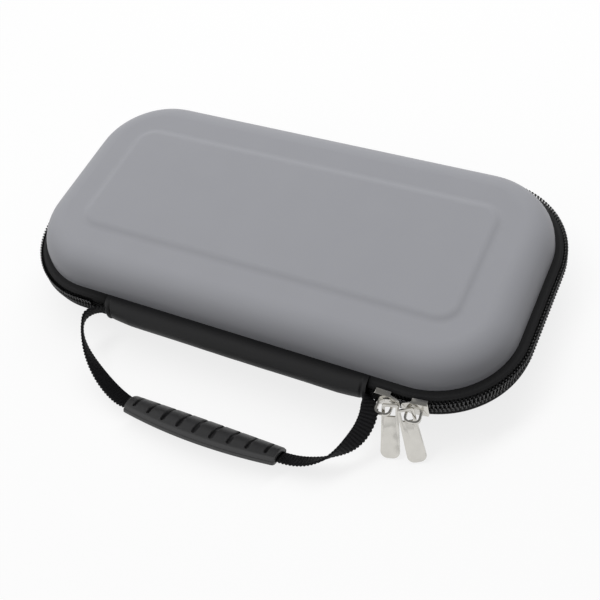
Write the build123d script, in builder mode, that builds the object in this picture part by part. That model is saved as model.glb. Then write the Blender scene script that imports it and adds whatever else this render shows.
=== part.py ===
"""Zip-up hard travel case for a hand-held game console, in millimetres.

Two formed foam shells meet at a coil zip that runs round three sides. A soft
spine on the front joins them. A webbing handle comes out of the spine's ends,
and its moulded grip lies on the table. Z is up, X runs along the long side,
and the spine and the handle are at negative Y. The origin is the middle of
the face that the base rests on.
"""
import os
from math import cos, radians, sin

from build123d import *

os.makedirs("parts", exist_ok=True)

# Outline of both shells at their rims
rim_length = 250.0
rim_depth = 121.0
rim_corner = 38.0
half_length = rim_length / 2
half_depth = rim_depth / 2
corner_start = half_length - rim_corner

# Shells: heights above the table, and how the foam is formed
zip_height = 23.0
lid_rim_rise = 5.0
base_rim_drop = 7.5
lid_rise = 20.7
wall = 3.2
side_draft = 4.0
lid_round = 14.0
base_round = 10.5
lid_rim = zip_height + lid_rim_rise
base_rim = zip_height - base_rim_drop
lid_top = zip_height + lid_rise

# Soft raised panel on the lid
panel_length = 201.0
panel_depth = 70.0
panel_corner = 11.0
panel_rise = 1.2
panel_slope = 68.0
panel_soft = 6.0

# Zip: tapes sewn to the rims, and a coil on each tape
tape = 0.9
tape_lap = 2.8
tape_out = 4.0
tape_bulge = 1.0
coil_thick = 1.7
coil_tall = 2.45
coil_gap = 0.65
coil_out = tape_out + coil_thick
coil_edge = coil_gap + coil_tall

# Spine: a soft sleeve between the two rims
spine_margin = 17.0
spine_length = 2 * (corner_start - spine_margin)
spine_skin = 1.3
spine_top_pull = 9.0
spine_top_lift = 2.6
spine_low_pull = 13.7
spine_low_drop = 1.9
zip_end = spine_length / 2 + 0.2
coil_end = spine_length / 2 + 7.0

# Sliders and their pulls
play = 0.35
slider_length = 12.0
slider_width = 8.8
slider_plate = 1.1
flange = 0.9
bulge_from = -slider_width / 2 - play
slider_nose = 2.2
slider_shoulder = 4.0
slider_from_spine = 10.3
inner_slider_at = spine_length / 2 + slider_from_spine
slider_spacing = 12.4
crown_reach = 3.2
crown_wide = 1.6
crown_bar = 0.9
crown_clear = 6.1
crown_round = 2.6
pull_thick = 1.1
pull_length = 25.2
pull_top = 7.2
pull_tip = 8.8
eye_wide = 4.6
eye_high = 1.7
eye_low = 3.4
eye_bar = 1.1
pull_pivot = 3.2
pull_shift = 0.3
pull_yaw = 15.0
inner_pull_lean = 28.5
outer_pull_lean = 27.8
inner_pull_cant = 5.5
outer_pull_cant = 14.0

# Handle: webbing that stands on edge at the spine and lies flat in the grip
web_wide = 8.0
web_thick = 1.4
web_height = 1.3
web_out = 4.6
web_drop = 1.6
web_sewn = 0.65
web_free = 0.08
web_full = 0.2
web_steps = 10
web_tuck = 4.0
web_left_swell = 34.0
web_left_return = 23.0
web_right_swell = 16.0
web_right_return = 27.0
web_dip = 3.0
web_lean_early = -58.0
web_lean_late = 42.0
grip_y = -101.8
grip_tilt = 33.0
grip_length = 81.0
grip_half = 6.7
grip_bow = 2.8
grip_lip = 1.8
grip_height = 5.2
grip_back = 2.3
grip_front = 3.6
grip_crest = -1.5
grip_step = 0.6
grip_round = 1.0
grip_corner = 1.5
table_gap = 0.3
slot_count = 9
slot_pitch = 8.8
slot_wide = 2.1
slot_floor = 2.6
slot_reach = 12.2
slot_fade = 1.0

# Fittings inside
lining = 0.8
binding_tall = 3.0
net_drop = 3.5
net_edge = 16.0
elastic_wide = 7.0
elastic_thick = 1.6
page_length = 214.0
page_depth = 96.0
page_corner = 26.0
page_thick = 2.4
flap_short = 5.0
pocket_row = 34.0
pocket_long = 180.0
pocket_count = 5
pocket_apart = 6.0
pocket_hem = 1.0
divider = 1.6
strap_wide = 34.0
strap_long = 92.0
strap_thick = 1.2


def dish(facing, level, rise, inset, edge_round):
    """A drafted tray on the rim outline, brought in by inset all round, rising the way it faces."""
    seat = Plane((0, 0, level), x_dir=(1, 0, 0), z_dir=(0, 0, facing))
    with BuildPart() as tray:
        with BuildSketch(seat):
            RectangleRounded(rim_length - 2 * inset, rim_depth - 2 * inset, rim_corner - inset)
        extrude(amount=rise, taper=side_draft)
        far_face = tray.faces().sort_by(Axis.Z)[-1 if facing > 0 else 0]
        fillet(far_face.edges(), radius=edge_round)
    return tray.part


def slice_of(solid, level, thick, front, back):
    """What a flat slab between two depths keeps of a solid."""
    with BuildPart() as kept:
        add(solid)
        with BuildSketch(Plane.XY.offset(level)):
            with Locations((0, (front + back) / 2)):
                Rectangle(rim_length, back - front)
        extrude(amount=thick, mode=Mode.INTERSECT)
    return kept.part


def round_the_zip(section, start):
    """A strip with this section, given outward and up from the rim line, run from spine end to spine end."""
    with BuildLine(Plane.XY.offset(zip_height)) as run:
        FilletPolyline(
            (start, -half_depth),
            (half_length, -half_depth),
            (half_length, half_depth),
            (-half_length, half_depth),
            (-half_length, -half_depth),
            (-start, -half_depth),
            radius=rim_corner,
        )
    with BuildPart() as strip:
        with BuildSketch(Plane((start, -half_depth, zip_height), x_dir=(0, -1, 0), z_dir=(-1, 0, 0))):
            Polygon(*section, align=None)
        sweep(path=run.wire())
    return strip.part


def coil_section(side):
    """Half of the closed coil, above the zip's middle or below it."""
    return [
        (tape_out, side * coil_gap),
        (coil_out - 0.5, side * coil_gap),
        (coil_out, side * (coil_gap + 0.5)),
        (coil_out, side * (coil_edge - 0.6)),
        (coil_out - 0.5, side * coil_edge),
        (tape_out, side * coil_edge),
    ]


def slider_seat(along):
    """Where a slider sits on the rim line, with its length along the zip and its face outward."""
    turn = max(0.0, along - corner_start) / (rim_corner + tape_out)
    out = Vector(sin(turn), -cos(turn), 0)
    if turn > 0:
        origin = Vector(corner_start, rim_corner - half_depth, zip_height) + out * rim_corner
    else:
        origin = Vector(along, -half_depth, zip_height)
    return Plane(origin, x_dir=(cos(turn), sin(turn), 0), z_dir=out)


# Shells
with BuildPart() as lid_shell:
    add(dish(1, lid_rim, lid_top - lid_rim, 0, lid_round))
    with BuildSketch(Plane.XY.offset(lid_top)):
        RectangleRounded(panel_length, panel_depth, panel_corner)
    extrude(amount=panel_rise, taper=panel_slope)
    panel_face = lid_shell.faces().sort_by(Axis.Z)[-1]
    fillet(panel_face.edges(), radius=panel_soft)
    field_face = lid_shell.faces().filter_by(Plane.XY).sort_by(Axis.Z)[-2]
    fillet(field_face.inner_wires()[0].edges(), radius=panel_soft)
    add(dish(1, lid_rim, lid_top - lid_rim - wall, wall, lid_round - wall), mode=Mode.SUBTRACT)
lid_shell.part.label = "lid_shell"
export_step(lid_shell.part, "parts/lid_shell.step")

with BuildPart() as base_shell:
    add(dish(-1, base_rim, base_rim, 0, base_round))
    add(dish(-1, base_rim, base_rim - wall, wall, base_round - wall), mode=Mode.SUBTRACT)
base_shell.part.label = "base_shell"
export_step(base_shell.part, "parts/base_shell.step")

# Zip tapes
with BuildPart() as lid_zip_tape:
    add(round_the_zip([
        (-tape_lap, lid_rim_rise),
        (0.2, lid_rim_rise),
        (tape_out - 0.5, coil_edge + 0.5),
        (tape_out, coil_edge),
        (tape_out, coil_gap),
        (tape_out - tape, coil_gap),
        (tape_out - tape, coil_edge - 0.3),
        (tape_out - 0.5 - tape, coil_edge - 0.1),
        (0, lid_rim_rise - tape),
        (-tape_lap, lid_rim_rise - tape),
    ], zip_end))
lid_zip_tape.part.label = "lid_zip_tape"
export_step(lid_zip_tape.part, "parts/lid_zip_tape.step")

with BuildPart() as base_zip_tape:
    add(round_the_zip([
        (-tape_lap, -base_rim_drop),
        (0.2, -base_rim_drop),
        (tape_out, 0.2 - base_rim_drop),
        (tape_out + tape_bulge, 1.1 - base_rim_drop),
        (tape_out + tape_bulge, bulge_from - 0.8),
        (tape_out, bulge_from),
        (tape_out, -coil_gap),
        (tape_out - tape, -coil_gap),
        (tape_out - tape, bulge_from - 0.3),
        (tape_out + tape_bulge - tape, bulge_from - 1.1),
        (tape_out - tape / 2, 0.2 + tape - base_rim_drop),
        (0, tape - base_rim_drop),
        (-tape_lap, tape - base_rim_drop),
    ], zip_end))
base_zip_tape.part.label = "base_zip_tape"
export_step(base_zip_tape.part, "parts/base_zip_tape.step")

# Zip coils
with BuildPart() as lid_zip_coil:
    add(round_the_zip(coil_section(1), coil_end))
lid_zip_coil.part.label = "lid_zip_coil"
export_step(lid_zip_coil.part, "parts/lid_zip_coil.step")

with BuildPart() as base_zip_coil:
    add(round_the_zip(coil_section(-1), coil_end))
base_zip_coil.part.label = "base_zip_coil"
export_step(base_zip_coil.part, "parts/base_zip_coil.step")

# Spine: full and rounded outside, hollow inside for the webbing's sewn ends
with BuildPart() as hinge_spine:
    with BuildSketch(Plane((spine_length / 2, -half_depth, zip_height), x_dir=(0, -1, 0), z_dir=(-1, 0, 0))):
        with BuildLine():
            Bezier(
                (0.3, lid_rim_rise),
                (spine_top_pull, lid_rim_rise + spine_top_lift),
                (spine_low_pull, -base_rim_drop - spine_low_drop),
                (0.3, -base_rim_drop),
            )
            Polyline(
                (0.3, -base_rim_drop),
                (-tape_lap, -base_rim_drop),
                (-tape_lap, lid_rim_rise),
                (0.3, lid_rim_rise),
            )
        make_face()
        with BuildLine():
            Bezier(
                (0.6, lid_rim_rise - spine_skin),
                (spine_top_pull - 0.75 * spine_skin, lid_rim_rise + spine_top_lift - 1.25 * spine_skin),
                (spine_low_pull - 1.5 * spine_skin, 1.4 * spine_skin - base_rim_drop - spine_low_drop),
                (0.6, spine_skin - base_rim_drop),
            )
            Polyline(
                (0.6, spine_skin - base_rim_drop),
                (spine_skin - tape_lap, spine_skin - base_rim_drop),
                (spine_skin - tape_lap, lid_rim_rise - spine_skin),
                (0.6, lid_rim_rise - spine_skin),
            )
        make_face(mode=Mode.SUBTRACT)
    extrude(amount=spine_length)
hinge_spine.part.label = "hinge_spine"
export_step(hinge_spine.part, "parts/hinge_spine.step")

# Sliders: an outer plate with flanges and a crown, and an inner wing held by a post
seats = [slider_seat(inner_slider_at), slider_seat(inner_slider_at + slider_spacing)]
heads = (1, -1)
plate_in = coil_out + play
plate_out = plate_in + slider_plate
wing_in = 1.2
for name, seat, head in zip(("inner_slider", "outer_slider"), seats, heads):
    with BuildPart() as slider:
        with BuildSketch(seat.offset(plate_in)) as plan:
            Polygon(
                (-head * slider_length / 2, -slider_width / 2),
                (head * (slider_length / 2 - slider_shoulder), -slider_width / 2),
                (head * slider_length / 2, slider_nose - slider_width / 2),
                (head * slider_length / 2, slider_width / 2 - slider_nose),
                (head * (slider_length / 2 - slider_shoulder), slider_width / 2),
                (-head * slider_length / 2, slider_width / 2),
                align=None,
            )
            fillet(plan.vertices(), radius=1.0)
        extrude(amount=slider_plate)
        with BuildSketch(seat.offset(tape_out + play)):
            with Locations((-head * slider_shoulder / 2, 0)):
                with GridLocations(0, slider_width - flange, 1, 2):
                    Rectangle(slider_length - slider_shoulder - 1.0, flange)
        extrude(amount=plate_in - tape_out - play)
        with BuildSketch(seat.offset(wing_in)):
            RectangleRounded(slider_length - 3.0, 5.0, 1.4)
        extrude(amount=slider_plate)
        with BuildSketch(seat.offset(wing_in + slider_plate)):
            with Locations((head * 3.0, 0)):
                Rectangle(2.0, 2 * (coil_gap - play / 2))
        extrude(amount=plate_in - wing_in - slider_plate)
        with BuildSketch(Plane(seat.origin, x_dir=seat.x_dir, z_dir=(0, 0, -1))) as crown:
            with Locations((0, plate_out + crown_clear / 2)):
                Rectangle(2 * crown_reach + 1.0, crown_clear + 2 * crown_bar)
            fillet(crown.vertices().sort_by(Axis.Y)[-2:], radius=crown_round)
            with Locations((0, plate_out + crown_clear / 2)):
                RectangleRounded(
                    2 * crown_reach - 1.0,
                    crown_clear,
                    crown_round - crown_bar,
                    mode=Mode.SUBTRACT,
                )
        extrude(amount=crown_wide / 2, both=True)
    slider.part.label = name
    export_step(slider.part, f"parts/{name}.step")

# Pulls: flared leaves that hang from the crowns with one rail of the eye under the crown
leans = (inner_pull_lean, outer_pull_lean)
cants = (inner_pull_cant, outer_pull_cant)
for name, seat, head, lean, cant in zip(("inner_pull", "outer_pull"), seats, heads, leans, cants):
    face = seat.z_dir * cos(radians(lean)) + Vector(0, 0, 1) * sin(radians(lean))
    pivot = seat.origin + seat.z_dir * (plate_out + pull_pivot) + seat.x_dir * head * crown_reach
    hang = Plane(Plane(pivot, x_dir=seat.x_dir, z_dir=face).location * Rotation(0, pull_yaw, cant))
    shift = -head * pull_shift
    with BuildPart() as pull:
        with BuildSketch(hang.offset(-pull_thick / 2)) as leaf:
            with Locations((shift, 0)):
                Polygon(
                    (-pull_top / 2, eye_high + eye_bar),
                    (-pull_tip / 2, -pull_length),
                    (pull_tip / 2, -pull_length),
                    (pull_top / 2, eye_high + eye_bar),
                    align=None,
                )
            fillet(leaf.vertices().sort_by(Axis.Y)[:2], radius=3.4)
            fillet(leaf.vertices().sort_by(Axis.Y)[-2:], radius=1.0)
        extrude(amount=pull_thick)
        with BuildSketch(hang.offset(-pull_thick)):
            with Locations((shift, (eye_high - eye_low) / 2)):
                RectangleRounded(eye_wide, eye_high + eye_low, 0.7)
        extrude(amount=2 * pull_thick, mode=Mode.SUBTRACT)
    pull.part.label = name
    export_step(pull.part, f"parts/{name}.step")

# Grip's own plane: it lies on its back edge, with its front edge up
tilt = radians(grip_tilt)
grip_seat = Plane(
    (0, grip_y, table_gap + grip_half * sin(tilt)),
    x_dir=(1, 0, 0),
    z_dir=(0, sin(tilt), cos(tilt)),
)
grip_up = Axis(grip_seat.origin, grip_seat.z_dir)

# Webbing: one length from the spine's left end, through the grip, to its right end
web_y = -half_depth - web_out
web_mouth = grip_seat.origin + grip_seat.z_dir * web_height
left_run = Bezier(
    (web_tuck - spine_length / 2, web_y, zip_height - web_drop),
    (-spine_length / 2 - web_left_swell, web_y - web_dip, zip_height),
    (-grip_length / 2 - web_left_return, web_mouth.Y, web_mouth.Z),
    (-grip_length / 2, web_mouth.Y, web_mouth.Z),
)
right_run = Bezier(
    (spine_length / 2 - web_tuck, web_y, zip_height - web_drop),
    (spine_length / 2 + web_right_swell, web_y - web_dip, zip_height),
    (grip_length / 2 + web_right_return, web_mouth.Y, web_mouth.Z),
    (grip_length / 2, web_mouth.Y, web_mouth.Z),
)


def web_lean(along):
    """How far the webbing leans: on edge at the spine, over a little, then down to the grip's tilt."""
    back = 1 - along
    early = 3 * web_lean_early * back ** 2 * along
    late = 3 * web_lean_late * back * along ** 2 + (90 - grip_tilt) * along ** 3
    return radians(early + late)


def web_plane(run, along, side):
    """How the webbing stands at a point of its run: on edge at the spine, flat at the grip."""
    ahead = run % along
    out = Vector(-ahead.Y, ahead.X, 0).normalized() * side
    across = Vector(0, 0, 1) * cos(web_lean(along)) + out * sin(web_lean(along))
    return Plane(run @ along, x_dir=across - ahead * across.dot(ahead), z_dir=ahead * -side)


def web_width(along):
    """The webbing's width: gathered where it is sewn into the spine, full soon after it comes out."""
    opened = min(1.0, max(0.0, along - web_free) / (web_full - web_free))
    return web_wide * (web_sewn + (1 - web_sewn) * opened)


steps = [0, web_free, (web_free + web_full) / 2] + [i / web_steps for i in range(2, web_steps + 1)]
webs = [(web_plane(left_run, s, -1), web_width(s)) for s in steps]
webs += [(web_plane(right_run, s, 1), web_width(s)) for s in reversed(steps)]
with BuildPart() as handle_webbing:
    for place, width in webs:
        with BuildSketch(place):
            Rectangle(width, web_thick)
    loft(ruled=True)
handle_webbing.part.label = "handle_webbing"
export_step(handle_webbing.part, "parts/handle_webbing.step")


def grip_plan(level, inset):
    """The grip's outline: nearly straight at the back, bowed at the front."""
    end = grip_length / 2 - inset
    rear = grip_half - inset
    with BuildSketch(grip_seat.offset(level)) as plan:
        with BuildLine():
            ThreePointArc((-end, rear), (0, rear - grip_bow / 3), (end, rear))
            Line((end, rear), (end, -rear))
            ThreePointArc((end, -rear), (0, -rear - grip_bow), (-end, -rear))
            Line((-end, -rear), (-end, rear))
        make_face()
    return plan.sketch


# Grip: a lip all round, a rounded top, and slots across it that are longest in the middle
with BuildPart() as handle_grip:
    add(grip_plan(0, 0))
    extrude(amount=grip_lip, dir=grip_seat.z_dir)
    fillet(handle_grip.edges().filter_by(grip_up), radius=grip_corner)
    add(grip_plan(grip_lip, grip_step))
    extrude(amount=grip_height - grip_lip, dir=grip_seat.z_dir)
    with BuildSketch(Plane(grip_seat.origin, x_dir=grip_seat.y_dir, z_dir=(1, 0, 0))):
        with BuildLine():
            ThreePointArc(
                (grip_half, grip_back),
                (grip_crest, grip_height),
                (-grip_half - grip_bow, grip_front),
            )
            Polyline(
                (-grip_half - grip_bow, grip_front),
                (-grip_half - grip_bow, 0),
                (grip_half, 0),
                (grip_half, grip_back),
            )
        make_face()
    extrude(amount=grip_length, both=True, mode=Mode.INTERSECT)
    top_face = handle_grip.faces().sort_by(grip_up)[-1]
    fillet(top_face.edges(), radius=grip_round)
    for i in range(slot_count):
        step = i - (slot_count - 1) / 2
        reach = slot_reach - slot_fade * abs(step)
        with BuildSketch(grip_seat.offset(slot_floor)):
            with Locations((step * slot_pitch, grip_half - reach / 2)):
                SlotCenterToCenter(reach, slot_wide, rotation=90)
        extrude(amount=grip_height, mode=Mode.SUBTRACT)
    with BuildSketch(Plane(web_mouth, x_dir=grip_seat.y_dir, z_dir=(1, 0, 0))):
        Rectangle(web_wide, web_thick)
    extrude(amount=grip_length, both=True, mode=Mode.SUBTRACT)
handle_grip.part.label = "handle_grip"
export_step(handle_grip.part, "parts/handle_grip.step")

# Bindings that cover the seams inside the rims
lid_hollow = dish(1, lid_rim, lid_top - lid_rim - wall, wall, lid_round - wall)
base_hollow = dish(-1, base_rim, base_rim - wall, wall, base_round - wall)
with BuildPart() as lid_binding:
    add(slice_of(lid_hollow, lid_rim, binding_tall, -half_depth, half_depth))
    add(dish(1, lid_rim, 2 * binding_tall, wall + lining, 1.0), mode=Mode.SUBTRACT)
lid_binding.part.label = "lid_binding"
export_step(lid_binding.part, "parts/lid_binding.step")

with BuildPart() as base_binding:
    add(slice_of(base_hollow, base_rim - binding_tall, binding_tall, -half_depth, half_depth))
    add(dish(-1, base_rim, 2 * binding_tall, wall + lining, 1.0), mode=Mode.SUBTRACT)
base_binding.part.label = "base_binding"
export_step(base_binding.part, "parts/base_binding.step")

# Net pocket in the lid, with an elastic hem on its open edge
net_level = lid_rim + net_drop
net_room = dish(1, lid_rim, lid_top - lid_rim - wall, wall, lid_round - wall)
with BuildPart() as pocket_net:
    add(slice_of(net_room, net_level, lining, -half_depth, net_edge))
pocket_net.part.label = "pocket_net"
export_step(pocket_net.part, "parts/pocket_net.step")

elastic_level = net_level + (lining - elastic_thick) / 2
with BuildPart() as pocket_elastic:
    add(slice_of(net_room, elastic_level, elastic_thick, net_edge, net_edge + elastic_wide))
pocket_elastic.part.label = "pocket_elastic"
export_step(pocket_elastic.part, "parts/pocket_elastic.step")

# Padded page with card pockets, sewn to the spine by its own flap
page_level = lid_rim - page_thick
page_back = page_depth / 2
flap_front = tape_lap - half_depth
with BuildPart() as card_page:
    with BuildSketch(Plane.XY.offset(page_level)):
        RectangleRounded(page_length, page_depth, page_corner)
    extrude(amount=page_thick)
    with BuildSketch(Plane.XY.offset(lid_rim - lining)):
        with Locations((0, (flap_front - page_back) / 2)):
            Rectangle(spine_length - 2 * flap_short, page_back * -1 - flap_front)
    extrude(amount=lining)
card_page.part.label = "card_page"
export_step(card_page.part, "parts/card_page.step")

for name, row in (("front_card_pockets", -1), ("back_card_pockets", 1)):
    with BuildPart() as pockets:
        with BuildSketch(Plane.XY.offset(page_level - lining)):
            with Locations((0, row * (pocket_row + pocket_apart) / 2)):
                RectangleRounded(pocket_long, pocket_row, 2.0)
        extrude(amount=lining)
        with BuildSketch(Plane.XY.offset(page_level - 2 * lining)):
            with Locations((0, row * (pocket_row + pocket_apart) / 2)):
                with GridLocations(pocket_long / pocket_count, 0, pocket_count - 1, 1):
                    Rectangle(divider, pocket_row - 2 * pocket_hem)
        extrude(amount=lining)
    pockets.part.label = name
    export_step(pockets.part, f"parts/{name}.step")

# Elastic strap across the tray, over the console
with BuildPart() as console_strap:
    with BuildSketch(Plane.XY.offset(wall)):
        Rectangle(strap_wide, strap_long)
    extrude(amount=strap_thick)
console_strap.part.label = "console_strap"
export_step(console_strap.part, "parts/console_strap.step")
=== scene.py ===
# %% [markdown]
# # A zip-up case for a hand-held game console
# Two formed foam shells are closed by a coil zip on three sides. A soft spine on the fourth side is their
# hinge, and a webbing handle with a rubber grip comes out of the spine's two ends. The CAD model gives every
# piece its place and size. Blender adds what CAD leaves plain: coil loops, weave, seams, soft forms, finishes.

# %% Load the frame
from math import atan2, comb, cos, exp, pi, radians, sin

import bmesh
import bpy
from mathutils import Matrix, Vector, noise


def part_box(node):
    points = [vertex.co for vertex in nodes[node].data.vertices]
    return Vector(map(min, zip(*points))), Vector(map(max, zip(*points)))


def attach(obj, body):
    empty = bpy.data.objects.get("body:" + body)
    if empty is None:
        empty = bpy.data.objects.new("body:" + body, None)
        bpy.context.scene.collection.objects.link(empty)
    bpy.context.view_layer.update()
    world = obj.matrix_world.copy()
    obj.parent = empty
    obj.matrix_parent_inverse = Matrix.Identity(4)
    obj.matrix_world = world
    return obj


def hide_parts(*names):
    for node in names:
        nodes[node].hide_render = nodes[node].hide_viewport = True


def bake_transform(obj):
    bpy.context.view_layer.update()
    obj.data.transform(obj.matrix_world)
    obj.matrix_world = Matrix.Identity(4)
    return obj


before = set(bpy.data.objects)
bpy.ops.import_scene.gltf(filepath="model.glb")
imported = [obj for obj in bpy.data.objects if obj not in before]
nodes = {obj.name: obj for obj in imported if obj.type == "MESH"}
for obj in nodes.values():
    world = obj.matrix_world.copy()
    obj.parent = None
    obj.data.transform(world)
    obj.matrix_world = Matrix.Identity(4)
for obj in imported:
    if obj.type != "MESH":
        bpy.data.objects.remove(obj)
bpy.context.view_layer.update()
mm = 0.001

# %% [markdown]
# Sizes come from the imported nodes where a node's box gives them. The corner radius of the rims can't be read
# from a box, so it is written once here. The zip's run is measured on the rim line, at the zip's own height.

# %% Sizes read from the frame
lid_low, lid_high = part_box("lid_shell")
half_length, half_depth = lid_high.x, lid_high.y
rim_corner = 38 * mm
corner_start = half_length - rim_corner
side_start = half_depth - rim_corner
zip_level = (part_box("lid_zip_coil")[0].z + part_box("base_zip_coil")[1].z) / 2
lid_rim = lid_low.z - zip_level
base_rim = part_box("base_shell")[1].z - zip_level
spine_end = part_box("hinge_spine")[1].x
print("zip level", round(zip_level, 5), "rims", round(lid_rim, 5), round(base_rim, 5), "spine end", spine_end)


# %% [markdown]
# A finish is a tree of nodes. Written by hand, each node takes several lines, so one small class wraps a socket:
# Python's operators on it add Math nodes, and one method adds any other node. A finish then reads like a sum.

# %% A socket that works like a number
class Value:
    """A value that changes over a surface. Python's operators on it add Math nodes to its material."""

    def __init__(self, tree, socket=None):
        self.tree, self.socket = tree, socket

    def node(self, kind, settings=None, inputs=None, out=0):
        made = self.tree.nodes.new(kind)
        for key, setting in (settings or {}).items():
            setattr(made, key, setting)
        for key, value in (inputs or {}).items():
            if isinstance(value, Value):
                self.tree.links.new(value.socket, made.inputs[key])
            else:
                made.inputs[key].default_value = value
        return Value(self.tree, made.outputs[out])

    def maths(self, operation, first, second=0.0):
        return self.node("ShaderNodeMath", {"operation": operation}, {0: first, 1: second})

    def __add__(self, other):
        return self.maths("ADD", self, other)

    def __radd__(self, other):
        return self.maths("ADD", other, self)

    def __sub__(self, other):
        return self.maths("SUBTRACT", self, other)

    def __rsub__(self, other):
        return self.maths("SUBTRACT", other, self)

    def __mul__(self, other):
        return self.maths("MULTIPLY", self, other)

    def __gt__(self, other):
        return self.maths("GREATER_THAN", self, other)

    def wave(self):
        """A smooth wave of this value, from 0 to 1."""
        return self.maths("SINE", self) * 0.5 + 0.5

    def axis(self, name):
        """One coordinate of a position or a direction."""
        return self.node("ShaderNodeSeparateXYZ", {}, {0: self}, out=name)

    def noise(self, per_metre, detail=2.0):
        """Soft noise at this position, from 0 to 1."""
        return self.node("ShaderNodeTexNoise", {}, {"Vector": self, "Scale": per_metre, "Detail": detail})

    def colours(self, low, high):
        """A colour between two, by this value."""
        return self.node("ShaderNodeMix", {"data_type": "RGBA"}, {0: self, 6: (*low, 1), 7: (*high, 1)}, out=2)

    def bump(self, height, strength=1.0):
        """The surface normal, tilted as if this value were a height in metres."""
        return self.node("ShaderNodeBump", {}, {"Height": self, "Distance": height, "Strength": strength})

    def into(self, shader, name):
        """Feed one socket of a shader."""
        self.tree.links.new(self.socket, shader.inputs[name])


def finish(name, **fixed):
    """A new material: the material, its shader with fixed values set, and the position on the object."""
    material = bpy.data.materials.new(name)
    material.use_nodes = True
    shader = material.node_tree.nodes["Principled BSDF"]
    for socket, value in fixed.items():
        shader.inputs[socket.replace("_", " ")].default_value = value
    place = Value(material.node_tree).node("ShaderNodeTexCoord", out="Object")
    return material, shader, place


# %% [markdown]
# The shells are foam, pressed hot between two skins: outside a grey soft-touch skin with a very fine grain,
# inside a dark brushed lining. Each shell is one node, so one finish has both. A point is on the outside
# where its normal points away from the middle of the zip's plane.

# %% Soft-touch shells with their lining
def shell_finish():
    """Grey soft-touch skin outside and brushed lining cloth inside."""
    material, shader, place = finish(
        "soft_touch_shell", Specular_IOR_Level=0.42, Sheen_Weight=0.06, Sheen_Roughness=0.5
    )
    facing = place.node("ShaderNodeTexCoord", out="Normal")
    from_middle = place.node(
        "ShaderNodeVectorMath", {"operation": "SUBTRACT"}, {0: place, 1: (0, 0, zip_level)}
    )
    dot = place.node("ShaderNodeVectorMath", {"operation": "DOT_PRODUCT"}, {0: facing, 1: from_middle}, out="Value")
    outside = dot > 0
    grain = place.noise(3800, 3)
    mottle = place.noise(45, 2)
    nap = place.noise(900, 4)
    skin = (mottle * 0.6 + grain * 0.4).colours((0.32, 0.324, 0.349), (0.346, 0.35, 0.376))
    lining = nap.colours((0.016, 0.016, 0.018), (0.034, 0.034, 0.037))
    colour = place.node("ShaderNodeMix", {"data_type": "RGBA"}, {0: outside, 6: lining, 7: skin}, out=2)
    colour.into(shader, "Base Color")
    (0.86 - outside * (0.36 + grain * 0.06) + mottle * 0.04).into(shader, "Roughness")
    (grain * outside * 0.35 + nap * (1 - outside)).bump(0.00012, 0.5).into(shader, "Normal")
    return material


soft_touch = shell_finish()
for name in ("lid_shell", "base_shell"):
    nodes[name].data.materials.clear()
    nodes[name].data.materials.append(soft_touch)
print("shells:", soft_touch.name)


# %% [markdown]
# Three strips run round the rims: tapes, coils and bindings. A row of edges is drawn at the spine's right end
# and carried round: an extrude for each straight side and a quarter spin for each corner, as the machine that
# sews the tape would go. Each point then gets its distance along the run, so that a weave can follow it.

# %% Carry a section round the rim
def section_row(bm, points, start):
    """A row of edges in the plane across the rim, from points given out of the rim and up from the zip."""
    verts = [bm.verts.new((start, -half_depth - out, zip_level + up)) for out, up in points]
    return [bm.edges.new(pair) for pair in zip(verts, verts[1:])]


def carry_round(bm, edges, start):
    """Carry a row of edges along the rim from its right end, round three sides, to its left end."""
    front = Vector((corner_start - start, 0, 0))
    side = Vector((0, 2 * side_start, 0))
    back = Vector((-2 * corner_start, 0, 0))
    corners = [(1, -1), (1, 1), (-1, 1), (-1, -1), None]
    for straight, corner in zip((front, side, back, -side, front), corners):
        made = bmesh.ops.extrude_edge_only(bm, edges=edges)["geom"]
        ends = {v for v in made if isinstance(v, bmesh.types.BMVert)}
        bmesh.ops.translate(bm, verts=list(ends), vec=straight)
        edges = [e for e in made if isinstance(e, bmesh.types.BMEdge) and set(e.verts) <= ends]
        if corner:
            centre = (corner[0] * corner_start, corner[1] * side_start, 0)
            row = edges + list({v for e in edges for v in e.verts})
            spun = bmesh.ops.spin(bm, geom=row, cent=centre, axis=(0, 0, 1), angle=pi / 2, steps=28)
            edges = [e for e in spun["geom_last"] if isinstance(e, bmesh.types.BMEdge)]


def along_rim(point):
    """How far along the run a point lies, from the front's middle, measured on the rim line."""
    core_x = max(-corner_start, min(corner_start, point.x))
    core_y = max(-side_start, min(side_start, point.y))
    turn = (atan2(point.y - core_y, point.x - core_x) + pi / 2) % (2 * pi)
    if point.x < 0 and turn < 0.01:
        turn = 2 * pi
    sides = (core_x, corner_start + core_y + side_start, 2 * side_start + 2 * corner_start - core_x,
             2 * side_start + 3 * corner_start + side_start - core_y,
             4 * side_start + 4 * corner_start + core_x)
    return sides[round(turn / (pi / 2))] + rim_corner * turn


def face_out(bm):
    """Turn a strip's faces so that they look away from the middle."""
    middle = Vector((0, 0, zip_level))
    facing = sum(f.normal.dot(f.calc_center_median() - middle) * f.calc_area() for f in bm.faces)
    if facing < 0:
        bmesh.ops.reverse_faces(bm, faces=bm.faces)


def as_mesh(name, bm):
    """A mesh from what bmesh has built."""
    mesh = bpy.data.meshes.new(name)
    bm.to_mesh(mesh)
    bm.free()
    return mesh


def as_object(name, data):
    """A mesh, lamp or camera as an object of the scene."""
    made = bpy.data.objects.new(name, data)
    bpy.context.scene.collection.objects.link(made)
    return made


def rim_strip(points, start):
    """A strip of this section, carried round the rim, with its distance along the run kept for the weave."""
    bm = bmesh.new()
    carry_round(bm, section_row(bm, points, start), start)
    distance = bm.verts.layers.float.new("along")
    for vert in bm.verts:
        vert[distance] = along_rim(vert.co)
    bm.normal_update()
    face_out(bm)
    return bm


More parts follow.
